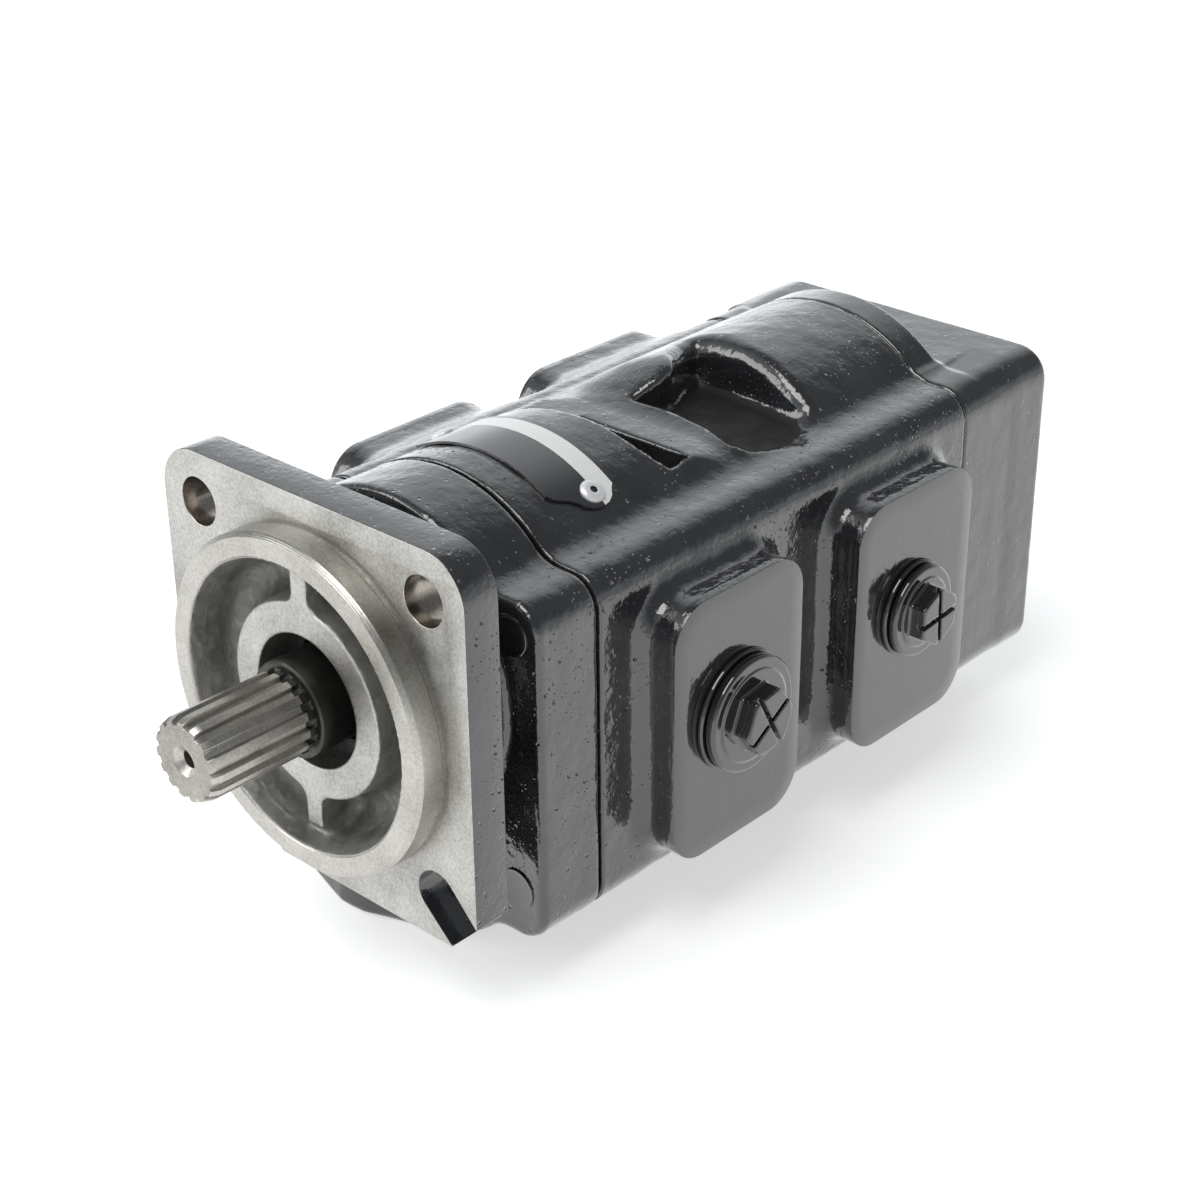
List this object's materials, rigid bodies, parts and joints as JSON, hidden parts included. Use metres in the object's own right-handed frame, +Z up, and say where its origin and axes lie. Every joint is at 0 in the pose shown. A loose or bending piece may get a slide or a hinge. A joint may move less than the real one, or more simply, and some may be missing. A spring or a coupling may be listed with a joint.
{
  "type": "hydraulic gear pump",
  "caption": "Tandem external gear pump with a square pilot flange, a splined drive shaft, a two-section cast housing with side port pads and a rear cover.",
  "frame": {"origin": "centre of the bounding box in X and Y, at the lowest face", "axes": "+Y along the shaft axis towards the rear cover (the splined shaft points along -Y), +Z up, +X towards the outlet pads"},
  "size_m": [0.164, 0.316, 0.1494],
  "materials": {
    "casting_paint": "glossy black paint over sand-cast iron, with the flange face, pilot and hub faces machined bare",
    "plug_paint": "glossy black paint over turned steel",
    "gear_steel": "ground and hobbed bare steel, satin",
    "bolt_steel": "dark hardened steel",
    "pin_steel": "ground steel",
    "spring_steel": "phosphated spring steel",
    "block_aluminium": "machined",
    "bush_bronze": "polymer-lined bronze",
    "seal_rubber": "matt nitrile rubber",
    "plate": "thin plate, grey front half and white rear band, no lettering",
    "rivet": "bright drive rivet"
  },
  "bodies": {
    "housing": {"front_cover": "casting_paint", "main_housing": "casting_paint", "rear_cover": "casting_paint", "front_body_seal": "seal_rubber", "rear_body_seal": "seal_rubber", "shaft_seal": "seal_rubber", "seal_circlip": "spring_steel", "front_dowel_right": "pin_steel", "front_dowel_left": "pin_steel", "rear_dowel_left": "pin_steel", "rear_dowel_right": "pin_steel", "nameplate": "plate", "nameplate_rivet_left": "rivet", "nameplate_rivet_right": "rivet", "through_bolt_top_left": "bolt_steel", "bolt_washer_top_left": "bolt_steel", "through_bolt_top_right": "bolt_steel", "bolt_washer_top_right": "bolt_steel", "through_bolt_bottom_left": "bolt_steel", "bolt_washer_bottom_left": "bolt_steel", "through_bolt_bottom_right": "bolt_steel", "bolt_washer_bottom_right": "bolt_steel", "front_section_front_bearing_block": "block_aluminium", "front_section_front_pressure_seal": "seal_rubber", "front_section_front_drive_bush": "bush_bronze", "front_section_front_driven_bush": "bush_bronze", "front_section_rear_bearing_block": "block_aluminium", "front_section_rear_pressure_seal": "seal_rubber", "front_section_rear_drive_bush": "bush_bronze", "front_section_rear_driven_bush": "bush_bronze", "rear_section_front_bearing_block": "block_aluminium", "rear_section_front_pressure_seal": "seal_rubber", "rear_section_front_drive_bush": "bush_bronze", "rear_section_front_driven_bush": "bush_bronze", "rear_section_rear_bearing_block": "block_aluminium", "rear_section_rear_pressure_seal": "seal_rubber", "rear_section_rear_drive_bush": "bush_bronze", "rear_section_rear_driven_bush": "bush_bronze", "front_outlet_port_plug": "plug_paint", "front_outlet_plug_washer": "plug_paint", "front_inlet_port_plug": "plug_paint", "front_inlet_plug_washer": "plug_paint", "rear_outlet_port_plug": "plug_paint", "rear_outlet_plug_washer": "plug_paint", "rear_inlet_port_plug": "plug_paint", "rear_inlet_plug_washer": "plug_paint"},
    "front_drive": {"front_drive_gear_shaft": "gear_steel", "shaft_coupling": "gear_steel"},
    "front_driven": {"front_driven_gear": "gear_steel"},
    "rear_drive": {"rear_drive_gear_shaft": "gear_steel"},
    "rear_driven": {"rear_driven_gear": "gear_steel"}
  },
  "joints": [
    {"name": "front_drive_spin", "type": "hinge", "parent": "housing", "child": "front_drive", "pos_m": [0, -0.0145, 0.08942], "axis": [0, 1, 0], "continuous": true},
    {"name": "front_driven_spin", "type": "hinge", "parent": "housing", "child": "front_driven", "pos_m": [0, -0.0145, 0.05142], "axis": [0, 1, 0], "continuous": true},
    {"name": "rear_drive_spin", "type": "hinge", "parent": "housing", "child": "rear_drive", "pos_m": [0, 0.069, 0.08942], "axis": [0, 1, 0], "continuous": true},
    {"name": "rear_driven_spin", "type": "hinge", "parent": "housing", "child": "rear_driven", "pos_m": [0, 0.069, 0.05142], "axis": [0, 1, 0], "continuous": true}
  ],
  "couplings": [
    {"joint": "front_driven_spin", "follows": "front_drive_spin", "ratio": -1},
    {"joint": "rear_drive_spin", "follows": "front_drive_spin", "ratio": 1},
    {"joint": "rear_driven_spin", "follows": "front_drive_spin", "ratio": -1}
  ]
}
